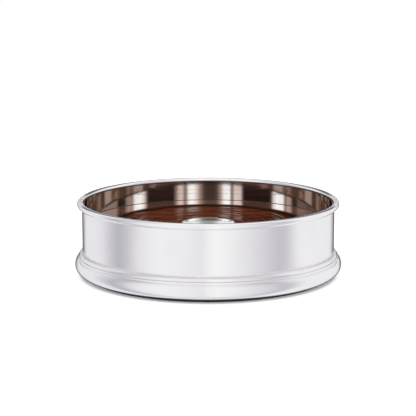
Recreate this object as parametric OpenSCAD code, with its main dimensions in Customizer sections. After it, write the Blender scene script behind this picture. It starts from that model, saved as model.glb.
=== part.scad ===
// Wine bottle coaster: a silver gallery with a bellied foot and a wire rim, round an upright silver
// lining, a turned mahogany floor and a domed boss, on a wooden core with a baize base.
// Millimetres, +Z up. The origin is the middle of the underside, and z is 0 where it stands.

/* [Overall] */
// Widest diameter, at the belly of the foot
belly_d = 127; // [110:0.5:150]
// Full height from the table to the top of the rim
overall_h = 35.8; // [32:0.1:50]

/* [Gallery] */
// How far the belly stands out from the straight wall
belly_out = 3.6; // [2.8:0.1:4.4]
// Thickness of the gallery's silver sheet
gallery_t = 0.55; // [0.4:0.05:0.9]
// Height of the silver's lowest point above the table
foot_lift = 1.2; // [0.8:0.1:2]
// Radius of the belly's section above its widest line
belly_upper_r = 5.1; // [4.2:0.1:6]
// Radius of the belly's section below its widest line
belly_lower_r = 4.1; // [3:0.1:4.6]
// Height of the lower crease above the silver's lowest point
crease_low_h = 7.55; // [7:0.05:7.9]
// Height of the upper crease above the silver's lowest point
crease_high_h = 8.5; // [8.2:0.05:9.2]
// Height of the sharp corner between foot and wall above the silver's lowest point
shoulder_h = 10.43; // [9.8:0.01:12]
// Where the upper crease lies on the way out from the wall to the lower crease
crease_high_share = 0.73; // [0.6:0.01:0.85]
// Bulge of the wider reed, between the wall's corner and the upper crease
reed_wide_bulge = 0.3; // [0.1:0.05:0.5]
// Bulge of the finer reed, between the two creases
reed_fine_bulge = 0.12; // [0.05:0.01:0.2]
// Width of the edge that is turned in under the core
lip_w = 3.4; // [2:0.1:5]

/* [Rim] */
// Diameter of the rim wire
rim_wire_d = 3; // [2.2:0.1:4]
// How far the wire stands out from the straight wall
rim_out = 2.25; // [1.5:0.05:2.6]

/* [Lining] */
// Thickness of the lining's silver sheet
liner_t = 0.45; // [0.3:0.05:0.6]
// Width of the lining's foot, turned in under the floor
liner_foot_w = 4; // [2:0.5:6]

/* [Floor] */
// Depth of the well, from the top of the rim down to the floor's border
well_depth = 11.35; // [9.5:0.05:13]
// Thickness of the mahogany disc at its border
floor_t = 5; // [4:0.1:7]
// Gap between the edge of the wood and the lining
floor_gap = 0.3; // [0.1:0.05:0.5]
// Round on the floor's top edge
floor_round = 0.5; // [0.2:0.05:0.8]
// Diameter of the recess in which the bottle stands
recess_d = 92; // [86:0.2:100]
// Depth of the recess
recess_depth = 0.4; // [0.2:0.05:1]
// Diameter of the outer groove
outer_groove_d = 75.4; // [66:0.2:80]
// Diameter of the inner groove
inner_groove_d = 53.8; // [44:0.2:60]
// Width of a groove
groove_w = 0.6; // [0.4:0.1:1.4]
// Depth of a groove
groove_depth = 0.25; // [0.2:0.05:0.6]

/* [Boss] */
// Diameter of the boss
boss_d = 25.2; // [22:0.1:30]
// Height of the boss's upright edge
boss_edge_h = 0.15; // [0.1:0.05:0.5]
// Rise of the boss's dome above its edge
boss_rise = 0.6; // [0.5:0.05:1.4]
// Thickness of the boss's silver
boss_t = 0.3; // [0.2:0.05:0.4]
// Diameter of the threaded stud under the boss
stud_d = 4; // [3:0.5:5]
// Clearance on each side of the stud
stud_gap = 0.2; // [0.1:0.05:0.4]
// Length of the stud that stands below the nut
stud_tail = 0.6; // [0.2:0.1:1]
// Thickness of the stud's solder plate inside the boss
stud_plate_t = 0.2; // [0.1:0.05:0.3]
// Diameter of the stud's solder plate
stud_plate_d = 10; // [7:0.5:14]
// Diameter of the washer
washer_d = 9; // [8:0.5:12]
// Thickness of the washer
washer_t = 0.8; // [0.5:0.1:1.2]
// Width of the nut across its flats
nut_af = 7; // [6:0.5:8]
// Thickness of the nut
nut_t = 3.2; // [2.4:0.1:4]
// Bevel on the nut's corners
nut_bevel = 0.4; // [0.2:0.05:0.6]

/* [Core] */
// Gap between the core and the gallery's wall, and beside the lining's foot
core_gap = 0.25; // [0.1:0.05:0.5]
// Diameter of the nut's pocket in the core
nut_pocket_d = 13; // [12.5:0.5:18]
// Depth of the nut's pocket in the core
nut_pocket_h = 6; // [5.5:0.1:8]
// Bevel on the core's shoulder
core_bevel = 0.5; // [0.2:0.1:1]

/* [Baize] */
// How far the edge of the baize lies inside the belly's widest line
baize_inset = 5.5; // [5:0.1:7]

/* [Hidden] */
// Film left between pieces that are soldered or lie on one another on curved faces
film = 0.05;
// Overrun of every cut past the face that it opens
over = 1;
// Degrees that one straight side of a drawn arc covers
arc_step = 4;
// Fineness of the round pieces
$fn = 192;

belly_r = belly_d / 2;
wall_r = belly_r - belly_out;
wall_in_r = wall_r - gallery_t;
belly_z = foot_lift + belly_lower_r;
upper_x = belly_r - belly_upper_r;
lower_x = belly_r - belly_lower_r;
lip_r = lower_x - lip_w;
crease_low_z = foot_lift + crease_low_h;
crease_high_z = foot_lift + crease_high_h;
shoulder_z = foot_lift + shoulder_h;
crease_low_a = asin((crease_low_z - belly_z) / belly_upper_r);
crease_low_r = upper_x + belly_upper_r * cos(crease_low_a);
crease_high_r = wall_r + crease_high_share * (crease_low_r - wall_r);
rim_wire_r = rim_wire_d / 2;
rim_x = wall_r + rim_out - rim_wire_r;
rim_z = overall_h - rim_wire_r;
border_z = overall_h - well_depth;
floor_z = border_z - recess_depth;
floor_under_z = border_z - floor_t;
liner_r = wall_in_r - film - liner_t;
liner_foot_r = liner_r - liner_foot_w;
floor_r = liner_r - floor_gap;
core_r = wall_in_r - core_gap;
core_top_r = liner_foot_r - core_gap;
core_shoulder_z = floor_under_z - liner_t;
core_under_z = foot_lift;
core_rebate_z = foot_lift + gallery_t + film;
stud_hole_d = stud_d + 2 * stud_gap;
pocket_top_z = core_under_z + nut_pocket_h;
nut_top_z = pocket_top_z - washer_t;
stud_end_z = nut_top_z - nut_t - stud_tail;
boss_in_r = boss_d / 2 - boss_t;
// The plate's rim lies just under the dome's inside
plate_rise = boss_rise * sqrt(1 - pow(stud_plate_d / 2 / boss_in_r, 2));
stud_plate_top_z = floor_z - boss_t + boss_edge_h + plate_rise - film;

// Points of an arc round a centre, from one angle to the other
function arc(x, z, r, a0, a1) =
    let (n = max(2, ceil(abs(a1 - a0) / arc_step)))
    [for (i = [0 : n]) [x + r * cos(a0 + (a1 - a0) * i / n), z + r * sin(a0 + (a1 - a0) * i / n)]];

// Points of an arc from p to q that bulges to the right of the way from p to q, without its ends
function bulge(p, q, sag) =
    let (c = norm(q - p), r = c * c / (8 * sag) + sag / 2, half = asin(c / 2 / r),
         u = (q - p) / c, side = [u[1], -u[0]], mid = (p + q) / 2, centre = mid - side * (r - sag),
         n = max(4, ceil(2 * half / arc_step)))
    [for (i = [1 : n - 1])
        let (a = -half + 2 * half * i / n) centre + r * (side * cos(a) + u * sin(a))];

// The spun outer wall: turned-in edge, belly, two reeds and the straight wall
module gallery() {
    crease_low = [crease_low_r, crease_low_z];
    crease_high = [crease_high_r, crease_high_z];
    shoulder = [wall_r, shoulder_z];
    outer = concat(
        [[lip_r, foot_lift]],
        arc(lower_x, belly_z, belly_lower_r, -90, 0),
        arc(upper_x, belly_z, belly_upper_r, arc_step / 2, crease_low_a),
        bulge(crease_low, crease_high, reed_fine_bulge),
        [crease_high],
        bulge(crease_high, shoulder, reed_wide_bulge),
        [shoulder, [wall_r, rim_z]]);
    inner = concat(
        [[wall_in_r, rim_z], [wall_in_r, shoulder_z - gallery_t]],
        arc(upper_x, belly_z, belly_upper_r - gallery_t, crease_low_a, arc_step / 2),
        arc(lower_x, belly_z, belly_lower_r - gallery_t, 0, -90),
        [[lip_r, foot_lift + gallery_t]]);
    color([0.88, 0.88, 0.9]) rotate_extrude() polygon(concat(outer, inner));
}

// The wire soldered on the gallery's top edge and standing proud outside it
module rim_wire() {
    color([0.93, 0.93, 0.95]) rotate_extrude() difference() {
        translate([rim_x, rim_z]) circle(r = rim_wire_r);
        translate([0, rim_z - rim_wire_d]) square([wall_r + film, rim_wire_d]);
    }
}

// The lining: a plain upright wall, its foot turned in under the wood
module inner_liner() {
    color([0.8, 0.76, 0.74]) rotate_extrude() union() {
        translate([liner_r, core_shoulder_z]) square([liner_t, rim_z - core_shoulder_z]);
        translate([liner_foot_r, core_shoulder_z]) square([liner_foot_w + liner_t, liner_t]);
    }
}

// The section of one turned groove, cut from the floor of the recess
module groove_section(d) {
    translate([d / 2, floor_z]) scale([groove_w / 2 / groove_depth, 1]) circle(r = groove_depth);
}

// The mahogany disc: a border with a rounded edge, the recess with its grooves, the stud's hole
module floor_disc() {
    color([0.42, 0.22, 0.15]) rotate_extrude() difference() {
        union() {
            translate([0, floor_under_z]) square([floor_r, floor_t - floor_round]);
            translate([0, floor_under_z]) square([floor_r - floor_round, floor_t]);
            translate([floor_r - floor_round, border_z - floor_round]) circle(r = floor_round);
        }
        translate([0, floor_z]) square([recess_d / 2, recess_depth + over]);
        translate([0, floor_under_z - over]) square([stud_hole_d / 2, floor_t + 2 * over]);
        groove_section(outer_groove_d);
        groove_section(inner_groove_d);
    }
}

// Half of a flattened dome's section, standing on a short upright edge
module dome_section(r, edge_h, rise) {
    translate([0, floor_z]) square([r, edge_h]);
    translate([0, floor_z + edge_h]) intersection() {
        scale([r / rise, 1]) circle(r = rise);
        square([r, rise]);
    }
}

// The silver button, a spun shell that stands on the wood
module boss() {
    color([0.9, 0.9, 0.92]) rotate_extrude() difference() {
        dome_section(boss_d / 2, boss_edge_h, boss_rise);
        translate([0, -boss_t]) dome_section(boss_in_r, boss_edge_h, boss_rise);
    }
}

// The pin and the small plate that solders it inside the boss
module boss_stud() {
    plate_z = stud_plate_top_z - stud_plate_t;
    color([0.78, 0.65, 0.35]) union() {
        translate([0, 0, stud_end_z]) cylinder(d = stud_d, h = plate_z - stud_end_z);
        translate([0, 0, plate_z]) cylinder(d = stud_plate_d, h = stud_plate_t);
    }
}

// The washer against the top of the core's pocket
module boss_washer() {
    color([0.78, 0.65, 0.35]) translate([0, 0, nut_top_z]) difference() {
        cylinder(d = washer_d, h = washer_t);
        translate([0, 0, -over]) cylinder(d = stud_hole_d, h = washer_t + 2 * over);
    }
}

// The hexagon nut with bevelled corners
module boss_nut() {
    nut_d = nut_af / cos(30);
    color([0.78, 0.65, 0.35]) translate([0, 0, nut_top_z - nut_t]) difference() {
        intersection() {
            cylinder(d = nut_d, h = nut_t, $fn = 6);
            union() {
                cylinder(d1 = nut_af, d2 = nut_d + nut_bevel, h = nut_bevel);
                translate([0, 0, nut_bevel])
                    cylinder(d = nut_d + nut_bevel, h = nut_t - nut_bevel);
            }
        }
        translate([0, 0, -over]) cylinder(d = stud_d + 2 * film, h = nut_t + 2 * over);
    }
}

// The turned wooden core: it fills the foot, carries the lining's foot and the floor, and is held
// by the gallery's turned-in edge
module core_block() {
    color([0.62, 0.45, 0.3]) rotate_extrude() difference() {
        union() {
            translate([0, core_under_z]) square([lip_r - film, core_rebate_z - core_under_z]);
            polygon([[0, core_rebate_z], [core_r, core_rebate_z],
                     [core_r, core_shoulder_z - core_bevel],
                     [core_r - core_bevel, core_shoulder_z],
                     [core_top_r, core_shoulder_z], [core_top_r, floor_under_z],
                     [0, floor_under_z]]);
        }
        translate([0, core_under_z - over]) square([stud_hole_d / 2, overall_h]);
        translate([0, core_under_z - over]) square([nut_pocket_d / 2, nut_pocket_h + over]);
    }
}

// The baize glued under the core and over the turned-in edge
module baize_pad() {
    color([0.12, 0.13, 0.13]) cylinder(r = belly_r - baize_inset, h = foot_lift);
}

gallery();
rim_wire();
inner_liner();
floor_disc();
boss();
boss_stud();
boss_washer();
boss_nut();
core_block();
baize_pad();
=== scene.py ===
import math
import bpy
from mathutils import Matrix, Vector


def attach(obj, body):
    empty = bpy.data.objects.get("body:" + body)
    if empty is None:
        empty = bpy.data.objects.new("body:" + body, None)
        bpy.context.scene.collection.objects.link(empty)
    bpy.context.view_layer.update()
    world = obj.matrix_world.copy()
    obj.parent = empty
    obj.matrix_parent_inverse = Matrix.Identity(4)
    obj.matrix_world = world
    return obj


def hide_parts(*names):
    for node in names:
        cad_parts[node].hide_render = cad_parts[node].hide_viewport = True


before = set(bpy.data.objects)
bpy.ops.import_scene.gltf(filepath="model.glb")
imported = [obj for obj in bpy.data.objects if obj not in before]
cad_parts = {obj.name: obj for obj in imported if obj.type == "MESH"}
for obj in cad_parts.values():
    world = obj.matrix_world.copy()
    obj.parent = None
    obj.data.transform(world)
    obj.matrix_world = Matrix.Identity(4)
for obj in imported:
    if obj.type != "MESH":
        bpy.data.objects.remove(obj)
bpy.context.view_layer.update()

MM = 0.001

# The coaster's sizes in millimetres, as in the part's source; heights are over the table
OVERALL_H = 35.8
BELLY_R = 63.5
WALL_R = 59.9
SHEET_T = 0.55
FOOT_LIFT = 1.2
BELLY_UPPER_R = 5.1
BELLY_LOWER_R = 4.1
CREASE_LOW_Z = FOOT_LIFT + 7.55
CREASE_HIGH_Z = FOOT_LIFT + 8.5
CREASE_HIGH_R = WALL_R + 1.65
SHOULDER_Z = FOOT_LIFT + 10.43
REED_FINE_BULGE = 0.12
REED_WIDE_BULGE = 0.3
LIP_W = 3.4
RIM_OUT_R = 62.15
RIM_WIRE_R = 1.5
RIM_X = RIM_OUT_R - RIM_WIRE_R
RIM_Z = OVERALL_H - RIM_WIRE_R
FILM = 0.05
LINING_R = 58.85
LINING_T = 0.45
LINING_FOOT_W = 4.0
WELL_DEPTH = 11.35
BORDER_Z = OVERALL_H - WELL_DEPTH
FLOOR_T = 5.0
FLOOR_GAP = 0.3
FLOOR_R = LINING_R - FLOOR_GAP
FLOOR_ROUND = 0.5
RECESS_R = 46.0
RECESS_DEPTH = 0.4
RECESS_Z = BORDER_Z - RECESS_DEPTH
STUD_HOLE_R = 2.2
GROOVES = (37.7, 26.9)
GROOVE_HALF_W = 0.3
GROOVE_DEPTH = 0.25
BOSS_R = 12.6
BOSS_EDGE_H = 0.15
BOSS_RISE = 0.6
BOSS_T = 0.3
BAIZE_R = 58.0

# How finely the profiles are cut: cuts are counts, and the other numbers are degrees
ROUND_CUTS = 360
REED_FINE_CUTS = 8
REED_WIDE_CUTS = 12
GROOVE_CUTS = 12
DOME_CUTS = 30
DOME_UNDER_CUTS = 16
ARC_STEP = 3.0
FLOOR_ROUND_STEP = 15
CRISP_EDGE = 24
CRISP_FLOOR_EDGE = 40
# A point of a profile nearer to the axis than this many millimetres is on it
ON_AXIS = 1e-6

# Silver finishes: the colour when clean and under haze, and the roughness when clean and under haze
WALL_FINISH = ((0.94, 0.93, 0.93), (0.88, 0.87, 0.87), 0.13, 0.17)
BOSS_FINISH = ((0.94, 0.93, 0.93), (0.88, 0.87, 0.87), 0.09, 0.12)
RIM_FINISH = ((0.95, 0.94, 0.94), (0.9, 0.89, 0.89), 0.14, 0.18)
LINING_FINISH = ((0.92, 0.9, 0.885), (0.86, 0.82, 0.79), 0.05, 0.07)
HAZE_SHARE = 0.35
SCRATCH_ROUGH = 0.03
# The dark of the creases: tarnish, with painted shade where shade falls in them
TARNISH_AND_SHADE = (0.06, 0.045, 0.038)
TARNISH_ROUGH = 0.25
# Tarnish and painted shade in the creases, and their dullness, are uneven along the turned lines: the
# least share, and what the lines add
CREASE_LEAST = 0.8
CREASE_UNEVEN = 0.4

# Creases that keep tarnish and painted shade, darkest in the crevice where the rim wire meets the lining:
# the height, half the width, the share, and the radius that they lie inside
GALLERY_CREASES = ((CREASE_LOW_Z - 0.3, 0.9, 0.09, BELLY_R), (CREASE_HIGH_Z, 0.4, 0.2, BELLY_R),
                   (SHOULDER_Z, 0.5, 0.05, BELLY_R))
RIM_CREASES = ((RIM_Z - RIM_WIRE_R, 0.4, 0.1, BELLY_R), (RIM_Z, 0.5, 0.9, RIM_X))
LINING_CREASES = ((RIM_Z - 0.15, 0.35, 0.9, RIM_X), (BORDER_Z, 0.3, 0.2, RIM_X))
BOSS_CREASES = ((RECESS_Z, 0.2, 0.5, BELLY_R),)
# The corner that the buff doesn't reach, in the same order, with its roughness in place of a share
UNBUFFED_CORNERS = ((SHOULDER_Z, 1.6, 0.5, BELLY_R),)

# Painted reflections: what the other pieces see of the rim and the lining, in place of their own colour:
# the colour in front and behind, the colour at the sides, and the creases. The rim is painted dim brown,
# with painted shade near black at its sides, and both get a painted dark line of shade in the crevice at
# the top. The sides begin and are full at these shares of the rim's radius.
RIM_SHADE_IN_REFLECTIONS = ((0.2, 0.15, 0.12), (0.02, 0.012, 0.01), ((RIM_Z, 0.5, 0.9, RIM_X),))
LINING_TONE_IN_REFLECTIONS = ((0.95, 0.93, 0.91), (0.95, 0.93, 0.91), ((RIM_Z, 0.3, 1.0, RIM_X),))
SIDE_SHADE_SPAN = (0.05, 0.3)

# Mahogany: colours, and how much of each is laid over the ones before
MAHOGANY_DARK = (0.045, 0.011, 0.005)
MAHOGANY_LIGHT = (0.14, 0.037, 0.016)
TURNED_LIGHT, TURNED_SHARE = (0.22, 0.072, 0.036), 0.5
PORE_DARK, PORE_SHARE = (0.015, 0.006, 0.004), 0.7
# A paler tone painted on the glossy border as a painted sheen, and how much of it
BORDER_SHEEN, BORDER_SHEEN_SHARE = (0.2, 0.125, 0.095), 0.3
# A dark colour painted as shade into the floor's corners and grooves, and how much of it
RING_SHADE, RING_SHADE_SHARE = (0.012, 0.005, 0.003), 0.9
# Rings of painted shade on the floor, in the recess corner, at the edge by the lining and in the grooves:
# the radius and half the width of each ring in millimetres
SHADED_RINGS = ((RECESS_R - 1.8, 5.0), (FLOOR_R, 0.9), (GROOVES[0], 0.55), (GROOVES[1], 0.55))
BORDER_EDGE_W = 0.1
# Varnish that is left where bottles stand: the least share, and what its rings add
VARNISH_LEAST = 0.01
VARNISH_RINGS = 0.27
VARNISH_ROUGH = 0.03
VARNISH_IOR = 1.5
# A painted dark shade that the wood takes on for the lining's reflection, in place of its colour: what
# the lining mirrors is the varnish more than the wood
WOOD_SHADE_IN_REFLECTIONS = (0.026, 0.0095, 0.006)
GRAIN_SPREAD = (0.3, 0.7)

# The pieces underneath
CORE_DARK = (0.3, 0.17, 0.085)
CORE_LIGHT = (0.5, 0.32, 0.17)
CORE_PORES, CORE_PORE_SHARE = (0.16, 0.08, 0.04), 0.6
BRASS_CLEAN = (0.78, 0.57, 0.25)
BRASS_DULL, BRASS_DULL_SHARE = (0.5, 0.36, 0.17), 0.6
BAIZE_DEEP = (0.012, 0.013, 0.014)
BAIZE_NAP = (0.035, 0.037, 0.038)
BAIZE_WORN, BAIZE_WORN_SHARE = (0.06, 0.06, 0.058), 0.4

# The depth of each finish's fine relief in metres
SILVER_RELIEF = 0.0000012
VARNISH_RELIEF = 0.000003
CORE_RELIEF = 0.00002
BRASS_RELIEF = 0.000006
NAP_RELIEF = 0.00015

# The table is lifted to white for the camera, but not inside a ring round the foot, which leaves a
# painted ring of darker shade there
TABLE_SIZE = 4
TABLE_WHITE = (0.9, 0.9, 0.9)
TABLE_LIFT = 0.35
FOOT_SHADE = (60.5, 62)

# The camera, fitted to the photograph: metres, degrees, and millimetres for the lens
CAMERA_DISTANCE = 0.6836
CAMERA_ELEVATION = 10.7
CAMERA_TARGET = (-0.0001, 0, 0.03126)
SENSOR_W = 36
LENS = 124.2

# The studio in the silver. Heights are elevations in degrees, and turns are degrees round from the
# camera's side. Two numbers are where a change begins and ends, and four are a change and its return.
SOFT_WHITE = (0.95, 0.95, 0.95)
HORIZON = (-0.03, 0.02)
# Tints of dark tones, for the table and for the panels
COOL = (1.0, 0.975, 1.1)
WARM = (1.0, 0.7, 0.58)
# Steep above and steep below, the studio is plain
STEEP_HEIGHTS = (58, 80)
STEEP_TONE = (0.76, 0.76, 0.78)
# Mirrored once, above the table: white behind the coaster, and in it the dark back with its gleam
SKY_TURN = (140, 154)
BACK_TURN = (130, 155)
BACK_HEIGHTS = (5, 9, 42, 55)
BACK_TONE = (0.11, 0.118, 0.13)
GLEAM_TURN = (178.8, 179.7)
GLEAM_HEIGHTS = (9.5, 10.8, 14.5, 16)
GLEAM_REST = 0.25
# Mirrored twice, as the lining shows it over the floor: bright panels, plainer low down
PANEL_PEAK = (2.6, 2.6, 2.6)
PANEL_HEIGHTS = (4.5, 6, 88, 90)
LOW_HEIGHTS = (8.2, 9.1)
LOW_PEAK = (0.75, 0.88, 0.98)
# From here upwards a ray has come over the rim's inner side, with one mirroring more
HIGH_HEIGHTS = (16, 26)
# Mirrored once more in the lining: the same panels browner and blurred, with a pale spot
AGAIN_TINT = (0.85, 0.56, 0.43)
AGAIN_TONE = (0.3, 0.18, 0.132)
AGAIN_BLUR = 0.5
AGAIN_TURN = (27, 33, 47, 53)
AGAIN_SPOT = (0.9, 0.7, 0.6)
# The count of mirrorings is above these when there are two or more, and three or more
TWICE = 1.5
THRICE = 2.5
# Tones by the turn, on the left and on the right
TABLE_LEFT = ((0, 0.93), (6, 0.83), (14, 0.88), (25, 0.91), (45, 0.93), (65, 0.82), (78, 0.6), (88, 0.5),
              (96, 0.6), (110, 0.8), (119, 0.84), (146, 0.84), (154, 0.5), (162, 0.12), (170, 0.05))
TABLE_RIGHT = ((0, 0.93), (8, 0.99), (30, 0.85), (49, 0.73), (66, 0.58), (74, 0.62), (88, 0.88),
               (96, 0.91), (146, 0.87), (154, 0.5), (162, 0.12), (170, 0.05))
PANELS_LEFT = ((0, 0.04), (5, 0.04), (8.7, 0.08), (12.5, 0.45), (15.5, 0.98), (20.5, 1.0), (22.6, 0.22),
               (23.6, 0.22), (25.8, 0.74), (31.5, 0.66), (34, 0.04), (36, 0.005), (61, 0.005),
               (63.5, 0.05), (66.5, 0.75), (70, 1.0), (77, 0.95), (79.6, 0.22), (80.6, 0.22),
               (83, 0.42), (86, 0.36), (89.5, 0.02), (94, 0.03), (97, 0.13), (106, 0.13), (110, 0.09),
               (130, 0.1), (160, 0.08), (180, 0.04))
PANELS_RIGHT = ((0, 0.04), (3.9, 0.06), (8, 0.33), (12, 0.82), (15, 1.0), (18.5, 0.95), (21.5, 0.25),
                (23, 0.25), (25.5, 0.66), (28.5, 0.62), (31, 0.25), (34, 0.01), (59, 0.01), (61.2, 0.06),
                (65.5, 0.8), (69, 1.0), (75, 0.95), (78.5, 0.3), (84, 0.3), (88.5, 0.02), (96, 0.01),
                (100, 0.24), (125, 0.26), (135, 0.12), (160, 0.12), (180, 0.04))


def arc(x, z, r, a0, a1, step=ARC_STEP):
    """Points of an arc round (x, z), with its angles in degrees."""
    n = max(2, math.ceil(abs(a1 - a0) / step))
    out = []
    for i in range(n + 1):
        a = math.radians(a0 + (a1 - a0) * i / n)
        out.append((x + r * math.cos(a), z + r * math.sin(a)))
    return out


def bulge(p, q, sag, cuts):
    """Points between p and q on an arc that stands out to the right of the way from p to q."""
    c = math.dist(p, q)
    r = c * c / (8 * sag) + sag / 2
    half = math.asin(c / 2 / r)
    ux, uz = (q[0] - p[0]) / c, (q[1] - p[1]) / c
    sx, sz = uz, -ux
    cx, cz = (p[0] + q[0]) / 2 - sx * (r - sag), (p[1] + q[1]) / 2 - sz * (r - sag)
    out = []
    for i in range(1, cuts):
        a = -half + 2 * half * i / cuts
        out.append((cx + r * (sx * math.cos(a) + ux * math.sin(a)),
                    cz + r * (sz * math.cos(a) + uz * math.sin(a))))
    return out


def lathe(name, profile, closed=True, crisp=CRISP_EDGE):
    """Turns a profile in millimetres, listed counter-clockwise as (radius, height), round the Z axis."""
    verts, faces, rings = [], [], []
    for r, z in profile:
        if r < ON_AXIS:
            rings.append([len(verts)])
            verts.append((0.0, 0.0, z * MM))
        else:
            rings.append(list(range(len(verts), len(verts) + ROUND_CUTS)))
            for i in range(ROUND_CUTS):
                a = 2 * math.pi * i / ROUND_CUTS
                verts.append((r * MM * math.cos(a), r * MM * math.sin(a), z * MM))
    pairs = list(zip(rings, rings[1:]))
    if closed:
        pairs.append((rings[-1], rings[0]))
    for low, high in pairs:
        if len(low) == 1 and len(high) == 1:
            continue
        for i in range(ROUND_CUTS):
            j = (i + 1) % ROUND_CUTS
            if len(low) == 1:
                faces.append((low[0], high[j], high[i]))
            elif len(high) == 1:
                faces.append((low[i], low[j], high[0]))
            else:
                faces.append((low[i], low[j], high[j], high[i]))
    mesh = bpy.data.meshes.new(name)
    mesh.from_pydata(verts, [], faces)
    mesh.update()
    mesh.shade_smooth()
    mesh.set_sharp_from_angle(angle=math.radians(crisp))
    piece = bpy.data.objects.new(name, mesh)
    bpy.context.scene.collection.objects.link(piece)
    return piece


def gallery():
    """The spun outer wall with its belly, its two reeds and the edge turned in underneath."""
    belly_z = FOOT_LIFT + BELLY_LOWER_R
    upper_x = BELLY_R - BELLY_UPPER_R
    lower_x = BELLY_R - BELLY_LOWER_R
    top_a = math.degrees(math.asin((CREASE_LOW_Z - belly_z) / BELLY_UPPER_R))
    low = (upper_x + BELLY_UPPER_R * math.cos(math.radians(top_a)), CREASE_LOW_Z)
    high = (CREASE_HIGH_R, CREASE_HIGH_Z)
    shoulder = (WALL_R, SHOULDER_Z)
    outer = [(lower_x - LIP_W, FOOT_LIFT)]
    outer += arc(lower_x, belly_z, BELLY_LOWER_R, -90, 0)
    outer += arc(upper_x, belly_z, BELLY_UPPER_R, ARC_STEP, top_a)
    outer += bulge(low, high, REED_FINE_BULGE, REED_FINE_CUTS) + [high]
    outer += bulge(high, shoulder, REED_WIDE_BULGE, REED_WIDE_CUTS) + [shoulder, (WALL_R, RIM_Z)]
    inner = [(WALL_R - SHEET_T, RIM_Z), (WALL_R - SHEET_T, SHOULDER_Z - SHEET_T)]
    inner += arc(upper_x, belly_z, BELLY_UPPER_R - SHEET_T, top_a, ARC_STEP)
    inner += arc(lower_x, belly_z, BELLY_LOWER_R - SHEET_T, 0, -90)
    inner += [(lower_x - LIP_W, FOOT_LIFT + SHEET_T)]
    return lathe("gallery_shell", outer + inner)


def rim():
    """The round wire that caps the wall and stands proud outside it."""
    x_in = WALL_R + FILM
    under = math.degrees(math.acos((x_in - RIM_X) / RIM_WIRE_R))
    return lathe("rim_wire_ring", arc(RIM_X, RIM_Z, RIM_WIRE_R, -under, 180) + [(x_in, RIM_Z)])


def lining():
    """The plain upright silver lining, its foot turned in under the wood."""
    foot_z = BORDER_Z - FLOOR_T
    foot_under = foot_z - LINING_T
    inside = [(LINING_R, RIM_Z), (LINING_R, foot_z), (LINING_R - LINING_FOOT_W, foot_z)]
    outside = [(LINING_R - LINING_FOOT_W, foot_under), (LINING_R + LINING_T, foot_under),
               (LINING_R + LINING_T, RIM_Z)]
    return lathe("lining_sleeve", inside + outside)


def turned_floor():
    """The mahogany disc: a raised border round the recess for the bottle, and two fine grooves."""
    pts = [(STUD_HOLE_R, BORDER_Z - FLOOR_T), (FLOOR_R, BORDER_Z - FLOOR_T)]
    pts += arc(FLOOR_R - FLOOR_ROUND, BORDER_Z - FLOOR_ROUND, FLOOR_ROUND, 0, 90, FLOOR_ROUND_STEP)
    pts += [(FLOOR_R - FLOOR_ROUND - FILM, BORDER_Z), (RECESS_R, BORDER_Z), (RECESS_R, RECESS_Z)]
    for r in GROOVES:
        for i in range(GROOVE_CUTS + 1):
            a = math.pi * i / GROOVE_CUTS
            pts.append((r + GROOVE_HALF_W * math.cos(a), RECESS_Z - GROOVE_DEPTH * math.sin(a)))
    pts += [(STUD_HOLE_R, RECESS_Z)]
    return lathe("turned_floor", pts, crisp=CRISP_FLOOR_EDGE)


def boss():
    """The domed button, a spun shell on a short upright edge."""
    edge_z = RECESS_Z + BOSS_EDGE_H
    outer = [(BOSS_R, RECESS_Z), (BOSS_R, edge_z)]
    for i in range(1, DOME_CUTS + 1):
        a = math.pi / 2 * i / DOME_CUTS
        r = BOSS_R * math.cos(a) if i < DOME_CUTS else 0
        outer.append((r, edge_z + BOSS_RISE * math.sin(a)))
    foot_a = math.asin((BOSS_T - BOSS_EDGE_H) / BOSS_RISE)
    inner = []
    for i in range(DOME_UNDER_CUTS + 1):
        a = math.pi / 2 + (foot_a - math.pi / 2) * i / DOME_UNDER_CUTS
        r = (BOSS_R - BOSS_T) * math.cos(a) if i else 0
        inner.append((r, edge_z - BOSS_T + BOSS_RISE * math.sin(a)))
    return lathe("boss_button", outer + inner)


def baize_disc():
    """The baize on the underside, with its cut edge."""
    return lathe("baize_base", [(0, 0), (BAIZE_R, 0), (BAIZE_R, FOOT_LIFT), (0, FOOT_LIFT)],
                 closed=False)


def place(piece, slot, material, *nodes):
    """Puts a piece in the frame in place of its CAD nodes."""
    piece.data.materials.clear()
    piece.data.materials.append(material)
    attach(piece, "root")
    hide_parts(*nodes)
    return piece


def refinish(node, material):
    """Gives a CAD node that stays its finished material."""
    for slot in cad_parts[node].material_slots:
        slot.material = material


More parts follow.
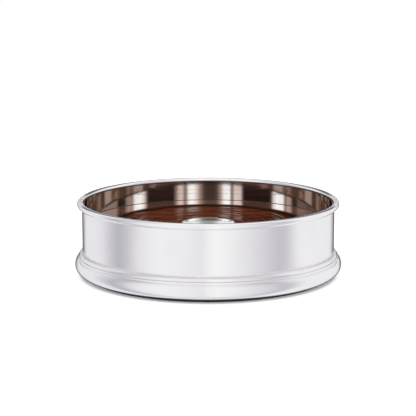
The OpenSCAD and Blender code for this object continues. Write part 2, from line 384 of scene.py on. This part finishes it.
class Nodes:
    """A short way to write the nodes of a material, a group or the world."""

    def __init__(self, tree):
        self.tree = tree

    def add(self, kind, **settings):
        node = self.tree.nodes.new(kind)
        for key, value in settings.items():
            setattr(node, key, value)
        return node

    def put(self, value, socket):
        """Links another node's output to a socket, or sets the socket to a number or a colour."""
        if isinstance(value, bpy.types.NodeSocket):
            self.tree.links.new(value, socket)
        elif isinstance(value, tuple) and socket.type == "RGBA" and len(value) == 3:
            socket.default_value = (*value, 1)
        else:
            socket.default_value = value

    def math(self, operation, a, b=None, c=None, clamp=False):
        node = self.add("ShaderNodeMath", operation=operation, use_clamp=clamp)
        for socket, value in zip(node.inputs, (a, b, c)):
            if value is not None:
                self.put(value, socket)
        return node.outputs[0]

    def ease(self, value, low, high, out_low=0.0, out_high=1.0):
        """A smooth step from out_low to out_high as value goes from low to high."""
        node = self.add("ShaderNodeMapRange", interpolation_type="SMOOTHSTEP")
        for socket, entry in zip(node.inputs, (value, low, high, out_low, out_high)):
            self.put(entry, socket)
        return node.outputs[0]

    def window(self, value, lowest, low, high, highest):
        """1 between low and high, falling to 0 at lowest and at highest."""
        up, down = self.ease(value, lowest, low), self.ease(value, high, highest, 1.0, 0.0)
        return self.math("MULTIPLY", up, down)

    def blend(self, share, a, b):
        """A colour between a and b."""
        node = self.add("ShaderNodeMix", data_type="RGBA")
        for socket, value in ((0, share), (6, a), (7, b)):
            self.put(value, node.inputs[socket])
        return node.outputs[2]

    def tinted(self, colour, tint):
        """A colour times a tint, which may be brighter than white."""
        node = self.add("ShaderNodeVectorMath", operation="MULTIPLY")
        self.put(colour, node.inputs[0])
        self.put(tint, node.inputs[1])
        return node.outputs[0]

    def vector(self, x, y, z):
        node = self.add("ShaderNodeCombineXYZ")
        for socket, value in zip(node.inputs, (x, y, z)):
            self.put(value, socket)
        return node.outputs[0]

    def split(self, vector):
        node = self.add("ShaderNodeSeparateXYZ")
        self.put(vector, node.inputs[0])
        return node.outputs

    def where(self):
        """Where the surface is on the object, in metres."""
        return self.add("ShaderNodeTexCoord").outputs["Object"]

    def axis_distance(self, x, y):
        square = self.math("ADD", self.math("MULTIPLY", x, x), self.math("MULTIPLY", y, y))
        return self.math("SQRT", square)

    def noise(self, vector, scale, detail, roughness):
        node = self.add("ShaderNodeTexNoise")
        self.put(vector, node.inputs["Vector"])
        for name, value in (("Scale", scale), ("Detail", detail), ("Roughness", roughness)):
            self.put(value, node.inputs[name])
        return node.outputs[0]

    def use(self, group, **values):
        """Places a shared group, with its inputs by name, and gives its outputs."""
        node = self.add("ShaderNodeGroup", node_tree=group)
        for name, value in values.items():
            self.put(value, node.inputs[name.replace("_", " ")])
        return node.outputs


def new_group(name, inputs, outputs):
    """An empty shared group; inputs are (name, value), outputs are names of values."""
    tree = bpy.data.node_groups.new(name, "ShaderNodeTree")
    for label, value in inputs:
        socket = tree.interface.new_socket(label, in_out="INPUT", socket_type="NodeSocketFloat")
        socket.default_value = value
    for label in outputs:
        tree.interface.new_socket(label, in_out="OUTPUT", socket_type="NodeSocketFloat")
    n = Nodes(tree)
    return tree, n, n.add("NodeGroupInput").outputs, n.add("NodeGroupOutput").inputs


def new_material(name):
    """A material with its shader and output, and no other nodes yet."""
    material = bpy.data.materials.new(name)
    material.use_nodes = True
    tree = material.node_tree
    for node in list(tree.nodes):
        if node.type not in ("BSDF_PRINCIPLED", "OUTPUT_MATERIAL"):
            tree.nodes.remove(node)
    shader = next(n for n in tree.nodes if n.type == "BSDF_PRINCIPLED")
    return material, Nodes(tree), shader


def relief(n, shader, height, depth):
    """Raises fine relief on a surface, depth metres for a height of 1."""
    bump = n.add("ShaderNodeBump")
    bump.inputs["Strength"].default_value = 1.0
    bump.inputs["Distance"].default_value = depth
    n.put(height, bump.inputs["Height"])
    n.put(bump.outputs[0], shader.inputs["Normal"])


def turned_lines_group():
    """Fine lines that run round the axis, as spinning and turning leave them."""
    inputs = (("Around", 3.0), ("Across", 2500.0), ("Shift", 0.0))
    tree, n, given, out = new_group("turned_lines", inputs, ("Lines", "Radius"))
    x, y, z = n.split(n.where())
    radius = n.axis_distance(x, y)
    # The least radius keeps the axis itself from a division by nought
    safe = n.math("MAXIMUM", radius, 0.0001)
    across = n.math("MULTIPLY", n.math("ADD", radius, z), given["Across"])
    spot = n.vector(n.math("MULTIPLY_ADD", n.math("DIVIDE", x, safe), given["Around"], given["Shift"]),
                    n.math("MULTIPLY", n.math("DIVIDE", y, safe), given["Around"]), across)
    n.put(n.noise(spot, scale=1.0, detail=3.0, roughness=0.6), out["Lines"])
    n.put(radius, out["Radius"])
    return tree


def handling_group():
    """The haze and hair scratches that hands and bottles leave on a polished surface."""
    inputs = (("Patch Scale", 60.0), ("Shift", 0.0))
    tree, n, given, out = new_group("handling_marks", inputs, ("Haze", "Scratches"))
    x, y, z = n.split(n.where())
    spot = n.vector(n.math("ADD", x, given["Shift"]), y, z)
    patches = n.noise(spot, scale=given["Patch Scale"], detail=3.0, roughness=0.55)
    n.put(n.ease(patches, 0.42, 0.72), out["Haze"])
    # Drawn out along one slanting way, so that the spots become hairs
    long_way = n.vector(n.math("MULTIPLY_ADD", x, 0.9, n.math("MULTIPLY", y, 0.35)),
                        n.math("MULTIPLY", n.math("SUBTRACT", y, n.math("MULTIPLY", x, 0.4)), 14.0),
                        n.math("MULTIPLY", z, 9.0))
    hairs = n.noise(long_way, scale=240.0, detail=1.0, roughness=0.4)
    n.put(n.ease(hairs, 0.66, 0.74), out["Scratches"])
    return tree


def band_group():
    """A soft band round the piece at one height or radius."""
    inputs = (("Place", 0.0), ("Centre", 0.01), ("Half Width", 0.0005))
    tree, n, given, out = new_group("soft_band", inputs, ("Band",))
    away = n.math("ABSOLUTE", n.math("SUBTRACT", given["Place"], given["Centre"]))
    n.put(n.ease(away, 0.0, given["Half Width"], 1.0, 0.0), out["Band"])
    return tree


def grain_group():
    """Wood grain along X, a little wavy, with its dark pores."""
    inputs = (("Grain Scale", 90.0), ("Shift", 0.0))
    tree, n, given, out = new_group("wood_grain", inputs, ("Grain", "Pores"))
    x, y, z = n.split(n.where())
    wave = n.math("MULTIPLY", n.noise(n.vector(x, y, z), scale=22.0, detail=2.0, roughness=0.5), 0.02)
    spot = n.vector(n.math("MULTIPLY_ADD", x, 0.08, given["Shift"]), n.math("ADD", y, wave), z)
    n.put(n.noise(spot, scale=given["Grain Scale"], detail=4.0, roughness=0.6), out["Grain"])
    fine = n.vector(n.math("MULTIPLY", x, 0.12), n.math("ADD", y, n.math("MULTIPLY", wave, 0.3)), z)
    n.put(n.ease(n.noise(fine, scale=1500.0, detail=1.0, roughness=0.4), 0.6, 0.72), out["Pores"])
    return tree


def crease_share(n, z, radius, lines, creases):
    """How much of a crease's tarnish and painted shade, or its dullness, a point gets, uneven along the
    turned lines.
    """
    most = 0.0
    for height, width, share, inside in creases:
        band = n.use(SOFT_BAND, Place=z, Centre=height * MM, Half_Width=width * MM)[0]
        band = n.math("MULTIPLY", band, n.math("LESS_THAN", radius, inside * MM))
        most = n.math("MAXIMUM", n.math("MULTIPLY", band, share), most)
    uneven = n.math("MULTIPLY_ADD", lines, CREASE_UNEVEN, CREASE_LEAST)
    return n.math("MULTIPLY", most, uneven, clamp=True)


def silver(name, finish, creases, painted_reflection=None, satin=()):
    """Polished silver: turned polishing lines, handling haze, and tarnish with painted shade in the
    creases.

    painted_reflection is the painted colour, with its painted shade, that the other pieces see of it, if
    that differs, and satin lists its unbuffed corners."""
    clean, dulled, polish, hazed = finish
    material, n, shader = new_material(name)
    lines, radius = n.use(TURNED_LINES, Around=4.0, Across=3200.0)
    haze, scratches = n.use(HANDLING, Patch_Scale=70.0)
    x, _, z = n.split(n.where())
    tarnish_and_shade = crease_share(n, z, radius, lines, creases)
    colour = n.blend(n.math("MULTIPLY", haze, HAZE_SHARE), clean, dulled)
    # Tarnish and painted shade darken the creases
    colour = n.blend(tarnish_and_shade, colour, TARNISH_AND_SHADE)
    # Rays from the other pieces see a painted colour, with painted shade at the sides and in the crevice
    if painted_reflection:
        tone, side_tone, reflected_crease_shade = painted_reflection
        to_side = n.ease(n.math("ABSOLUTE", x), *(share * RIM_X * MM for share in SIDE_SHADE_SPAN))
        tone = n.blend(to_side, tone, side_tone)
        camera_ray = n.add("ShaderNodeLightPath").outputs["Is Camera Ray"]
        shade = crease_share(n, z, radius, lines, reflected_crease_shade)
        colour = n.blend(camera_ray, n.blend(shade, tone, TARNISH_AND_SHADE), colour)
    n.put(colour, shader.inputs["Base Color"])
    shader.inputs["Metallic"].default_value = 1.0
    rough = n.math("MULTIPLY_ADD", haze, hazed - polish, polish)
    rough = n.math("MULTIPLY_ADD", scratches, SCRATCH_ROUGH, rough)
    if satin:
        rough = n.math("MAXIMUM", rough, crease_share(n, z, radius, lines, satin))
    n.put(n.math("MULTIPLY_ADD", tarnish_and_shade, TARNISH_ROUGH, rough, clamp=True), shader.inputs["Roughness"])
    height = n.math("MULTIPLY_ADD", lines, 0.6, n.math("MULTIPLY", scratches, -0.4))
    relief(n, shader, height, SILVER_RELIEF)
    return material


def mahogany():
    """Varnished red-brown mahogany, dull where bottles stand and glossy on the border, with a painted
    sheen on the border and painted shade in its corners and grooves.
    """
    material, n, shader = new_material("mahogany")
    grain, pores = n.use(GRAIN, Grain_Scale=130.0)
    lines, radius = n.use(TURNED_LINES, Around=1.6, Across=900.0)
    rings = n.use(TURNED_LINES, Around=1.2, Across=320.0, Shift=5.0)[0]
    haze = n.use(HANDLING, Patch_Scale=45.0, Shift=0.3)[0]
    border = n.ease(radius, RECESS_R * MM - BORDER_EDGE_W * MM, RECESS_R * MM)
    # Painted shade in rings at the recess corner, at the edge and in the grooves
    ring_shade = 0.0
    for r, half in SHADED_RINGS:
        band = n.use(SOFT_BAND, Place=radius, Centre=r * MM, Half_Width=half * MM)[0]
        ring_shade = n.math("MAXIMUM", band, ring_shade)
    ring_shade = n.math("MULTIPLY", ring_shade, RING_SHADE_SHARE)
    turned = n.math("MULTIPLY", n.ease(lines, 0.45, 0.75), TURNED_SHARE)
    colour = n.blend(n.ease(grain, *GRAIN_SPREAD), MAHOGANY_DARK, MAHOGANY_LIGHT)
    colour = n.blend(turned, colour, TURNED_LIGHT)
    colour = n.blend(n.math("MULTIPLY", pores, PORE_SHARE), colour, PORE_DARK)
    # A painted sheen on the border
    colour = n.blend(n.math("MULTIPLY", border, BORDER_SHEEN_SHARE), colour, BORDER_SHEEN)
    colour = n.blend(ring_shade, colour, RING_SHADE)
    # Mirrored rays see plain varnish over one painted dark shade, without the painted rings of shade and
    # with no relief
    camera_ray = n.add("ShaderNodeLightPath").outputs["Is Camera Ray"]
    ring_shade = n.math("MULTIPLY", ring_shade, camera_ray)
    n.put(n.blend(camera_ray, WOOD_SHADE_IN_REFLECTIONS, colour), shader.inputs["Base Color"])
    shader.inputs["Specular IOR Level"].default_value = 0.0
    n.put(n.math("MULTIPLY_ADD", haze, 0.2, 0.4), shader.inputs["Roughness"])
    worn = n.math("MULTIPLY_ADD", n.ease(rings, 0.43, 0.64), VARNISH_RINGS, VARNISH_LEAST)
    seen = n.math("MULTIPLY_ADD", border, n.math("SUBTRACT", 1.0, worn), worn)
    varnish = n.math("SUBTRACT", 1.0, n.math("MULTIPLY", camera_ray, n.math("SUBTRACT", 1.0, seen)))
    n.put(n.math("MULTIPLY", varnish, n.math("SUBTRACT", 1.0, ring_shade)), shader.inputs["Coat Weight"])
    shader.inputs["Coat Roughness"].default_value = VARNISH_ROUGH
    shader.inputs["Coat IOR"].default_value = VARNISH_IOR
    height = n.math("MULTIPLY_ADD", lines, 0.5, n.math("MULTIPLY", pores, -0.6))
    relief(n, shader, n.math("MULTIPLY", height, camera_ray), VARNISH_RELIEF)
    return material


def core_wood():
    """The plain wood of the core, bare and unpolished."""
    material, n, shader = new_material("core_wood")
    grain, pores = n.use(GRAIN, Grain_Scale=110.0, Shift=0.2)
    lines = n.use(TURNED_LINES, Around=2.0, Across=1400.0, Shift=3.0)[0]
    colour = n.blend(n.ease(grain, *GRAIN_SPREAD), CORE_DARK, CORE_LIGHT)
    colour = n.blend(n.math("MULTIPLY", pores, CORE_PORE_SHARE), colour, CORE_PORES)
    n.put(colour, shader.inputs["Base Color"])
    n.put(n.math("MULTIPLY_ADD", grain, 0.15, 0.55), shader.inputs["Roughness"])
    relief(n, shader, n.math("SUBTRACT", lines, pores), CORE_RELIEF)
    return material


def brass():
    """Turned brass, a little dulled."""
    material, n, shader = new_material("brass")
    lines = n.use(TURNED_LINES, Around=6.0, Across=5000.0, Shift=7.0)[0]
    haze, scratches = n.use(HANDLING, Patch_Scale=220.0, Shift=0.7)
    colour = n.blend(n.math("MULTIPLY", haze, BRASS_DULL_SHARE), BRASS_CLEAN, BRASS_DULL)
    n.put(colour, shader.inputs["Base Color"])
    shader.inputs["Metallic"].default_value = 1.0
    n.put(n.math("MULTIPLY_ADD", haze, 0.2, 0.22), shader.inputs["Roughness"])
    relief(n, shader, n.math("ADD", lines, scratches), BRASS_RELIEF)
    return material


def baize():
    """Dark woollen baize with its matted nap."""
    material, n, shader = new_material("baize")
    spot = n.where()
    nap = n.noise(spot, scale=1800.0, detail=4.0, roughness=0.7)
    worn = n.noise(spot, scale=55.0, detail=3.0, roughness=0.6)
    colour = n.blend(nap, BAIZE_DEEP, BAIZE_NAP)
    colour = n.blend(n.math("MULTIPLY", n.ease(worn, 0.5, 0.8), BAIZE_WORN_SHARE), colour, BAIZE_WORN)
    n.put(colour, shader.inputs["Base Color"])
    shader.inputs["Roughness"].default_value = 1.0
    shader.inputs["Specular IOR Level"].default_value = 0.1
    shader.inputs["Sheen Weight"].default_value = 0.15
    shader.inputs["Sheen Roughness"].default_value = 0.6
    relief(n, shader, nap, NAP_RELIEF)
    return material


def table():
    """The white table, which keeps the coaster's shadow and stays out of the silver."""
    bpy.ops.mesh.primitive_plane_add(size=TABLE_SIZE, location=(0, 0, 0))
    sheet = bpy.context.object
    sheet.name = "table"
    sheet.visible_glossy = False
    material, n, shader = new_material("table_white")
    shader.inputs["Base Color"].default_value = (*TABLE_WHITE, 1)
    shader.inputs["Roughness"].default_value = 1
    shader.inputs["Specular IOR Level"].default_value = 0
    shader.inputs["Emission Color"].default_value = (1, 1, 1, 1)
    x, y, _ = n.split(n.where())
    # Without the lift inside a ring round the foot: a painted ring of darker shade
    lift = n.ease(n.axis_distance(x, y), *(r * MM for r in FOOT_SHADE), 0.0, TABLE_LIFT)
    camera_ray = n.add("ShaderNodeLightPath").outputs["Is Camera Ray"]
    n.put(n.math("MULTIPLY", camera_ray, lift), shader.inputs["Emission Strength"])
    sheet.data.materials.append(material)


def sines(elevations):
    """Elevations in degrees as heights on a ball of radius 1."""
    return [math.sin(math.radians(a)) for a in elevations]


def half_turns(degrees):
    """Degrees round from the camera's side as shares of the way to the back."""
    return [a / 180 for a in degrees]


def tones(n, turn, stops, tint):
    """A tone by the turn, tinted more where it is darker."""
    node = n.add("ShaderNodeValToRGB")
    elements = node.color_ramp.elements
    while len(elements) > 1:
        elements.remove(elements[-1])
    elements[0].position = 0
    for i, (degrees, tone) in enumerate(stops):
        stop = elements[0] if i == 0 else elements.new(degrees / 180)
        stop.color = (*(tone * (low + (1 - low) * tone ** 2) for low in tint), 1)
    n.put(turn, node.inputs[0])
    return node.outputs[0]


def mirrored_once(n, turn, z, table_tone):
    """What the silver shows above the table: white, and the studio's dark back with a gleam in it."""
    back = n.math("MULTIPLY", n.ease(turn, *half_turns(BACK_TURN)), n.window(z, *sines(BACK_HEIGHTS)))
    gleam = n.math("MULTIPLY", n.window(z, *sines(GLEAM_HEIGHTS)),
                   n.ease(turn, *half_turns(GLEAM_TURN), 1.0, GLEAM_REST))
    back = n.math("MULTIPLY", back, n.math("SUBTRACT", 1.0, gleam))
    sky = n.blend(n.ease(turn, *half_turns(SKY_TURN)), table_tone, SOFT_WHITE)
    return n.blend(back, sky, BACK_TONE)


def mirrored_again(n, turn, z, right, high, mirrorings):
    """What the lining shows over the floor: the panels, browner when it has mirrored them twice."""
    # The rim's inner side throws the same panels back from high behind, at half the angle
    behind = n.math("MULTIPLY", high, n.math("GREATER_THAN", turn, 0.5))
    folded = n.math("MULTIPLY_ADD", behind, n.math("MULTIPLY_ADD", turn, -1.5, 0.5), turn)
    side = n.math("ABSOLUTE", n.math("SUBTRACT", right, behind))
    panels = n.blend(side, tones(n, folded, PANELS_LEFT, WARM), tones(n, folded, PANELS_RIGHT, WARM))
    again = n.math("MULTIPLY", n.math("GREATER_THAN", mirrorings, THRICE), n.math("SUBTRACT", 1.0, high))
    peak = n.blend(n.ease(z, *sines(LOW_HEIGHTS)), LOW_PEAK, PANEL_PEAK)
    bright = n.tinted(panels, n.blend(again, peak, AGAIN_TINT))
    spot = n.window(turn, *half_turns(AGAIN_TURN))
    seen = n.blend(n.math("MULTIPLY", again, AGAIN_BLUR), bright, AGAIN_TONE)
    seen = n.blend(n.math("MULTIPLY", again, spot), seen, AGAIN_SPOT)
    return n.blend(n.window(z, *sines(PANEL_HEIGHTS)), n.blend(again, SOFT_WHITE, AGAIN_TONE), seen)


def room():
    """White light from all round; polished surfaces see the studio and its panels in it."""
    world = bpy.data.worlds.new("studio")
    bpy.context.scene.world = world
    world.use_nodes = True
    world.node_tree.nodes.clear()
    n = Nodes(world.node_tree)
    x, y, z = n.split(n.add("ShaderNodeTexCoord").outputs["Generated"])
    # A share of the half turn on either side: 0 towards the camera, 1 behind the coaster
    turn = n.math("ARCTAN2", n.math("ABSOLUTE", x), n.math("MULTIPLY", y, -1.0))
    turn = n.math("DIVIDE", turn, math.pi)
    right = n.math("GREATER_THAN", x, 0.0)
    high = n.ease(z, *sines(HIGH_HEIGHTS))
    steep = n.ease(n.math("ABSOLUTE", z), *sines(STEEP_HEIGHTS))
    path = n.add("ShaderNodeLightPath")
    mirrorings = path.outputs["Glossy Depth"]
    table_tone = n.blend(right, tones(n, turn, TABLE_LEFT, COOL), tones(n, turn, TABLE_RIGHT, COOL))
    once = n.blend(steep, mirrored_once(n, turn, z, table_tone), SOFT_WHITE)
    more = n.math("GREATER_THAN", mirrorings, n.math("ADD", high, TWICE))
    above = n.blend(more, once, mirrored_again(n, turn, z, right, high, mirrorings))
    below = n.blend(steep, table_tone, STEEP_TONE)
    studio = n.add("ShaderNodeBackground")
    n.put(n.blend(n.ease(z, *HORIZON), below, above), studio.inputs[0])
    plain = n.add("ShaderNodeBackground")
    plain.inputs[0].default_value = (1, 1, 1, 1)
    choose = n.add("ShaderNodeMixShader")
    n.put(path.outputs["Is Glossy Ray"], choose.inputs[0])
    n.put(plain.outputs[0], choose.inputs[1])
    n.put(studio.outputs[0], choose.inputs[2])
    n.put(choose.outputs[0], n.add("ShaderNodeOutputWorld").inputs[0])


def camera():
    """The camera at the photograph's angle and distance."""
    data = bpy.data.cameras.new("photo_camera")
    data.sensor_width = SENSOR_W
    data.lens = LENS
    cam = bpy.data.objects.new("photo_camera", data)
    bpy.context.scene.collection.objects.link(cam)
    target, elevation = Vector(CAMERA_TARGET), math.radians(CAMERA_ELEVATION)
    cam.location = target + Vector((0, -math.cos(elevation), math.sin(elevation))) * CAMERA_DISTANCE
    cam.rotation_euler = (target - cam.location).to_track_quat("-Z", "Y").to_euler()
    bpy.context.scene.camera = cam


TURNED_LINES = turned_lines_group()
HANDLING = handling_group()
SOFT_BAND = band_group()
GRAIN = grain_group()

polished_silver = silver("polished_silver", WALL_FINISH, GALLERY_CREASES, satin=UNBUFFED_CORNERS)
boss_silver = silver("boss_silver", BOSS_FINISH, BOSS_CREASES)
rim_silver = silver("rim_silver", RIM_FINISH, RIM_CREASES, RIM_SHADE_IN_REFLECTIONS)
lining_silver = silver("lining_silver", LINING_FINISH, LINING_CREASES, LINING_TONE_IN_REFLECTIONS)
brass_fixings = brass()

place(gallery(), "polished_silver", polished_silver, "gallery")
place(rim(), "polished_silver", rim_silver, "rim_wire")
place(lining(), "lining_silver", lining_silver, "inner_liner")
place(turned_floor(), "mahogany", mahogany(), "floor_disc")
button = place(boss(), "polished_silver", boss_silver, "boss")
# The lining mirrors the floor, and the low button doesn't show in it
for hidden in (button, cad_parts["boss_stud"]):
    hidden.visible_glossy = False
place(baize_disc(), "baize", baize(), "baize_pad")
refinish("core_block", core_wood())
for fixing in ("boss_stud", "boss_washer", "boss_nut"):
    refinish(fixing, brass_fixings)
table()
room()
camera()
bpy.context.scene.view_settings.view_transform = "Standard"
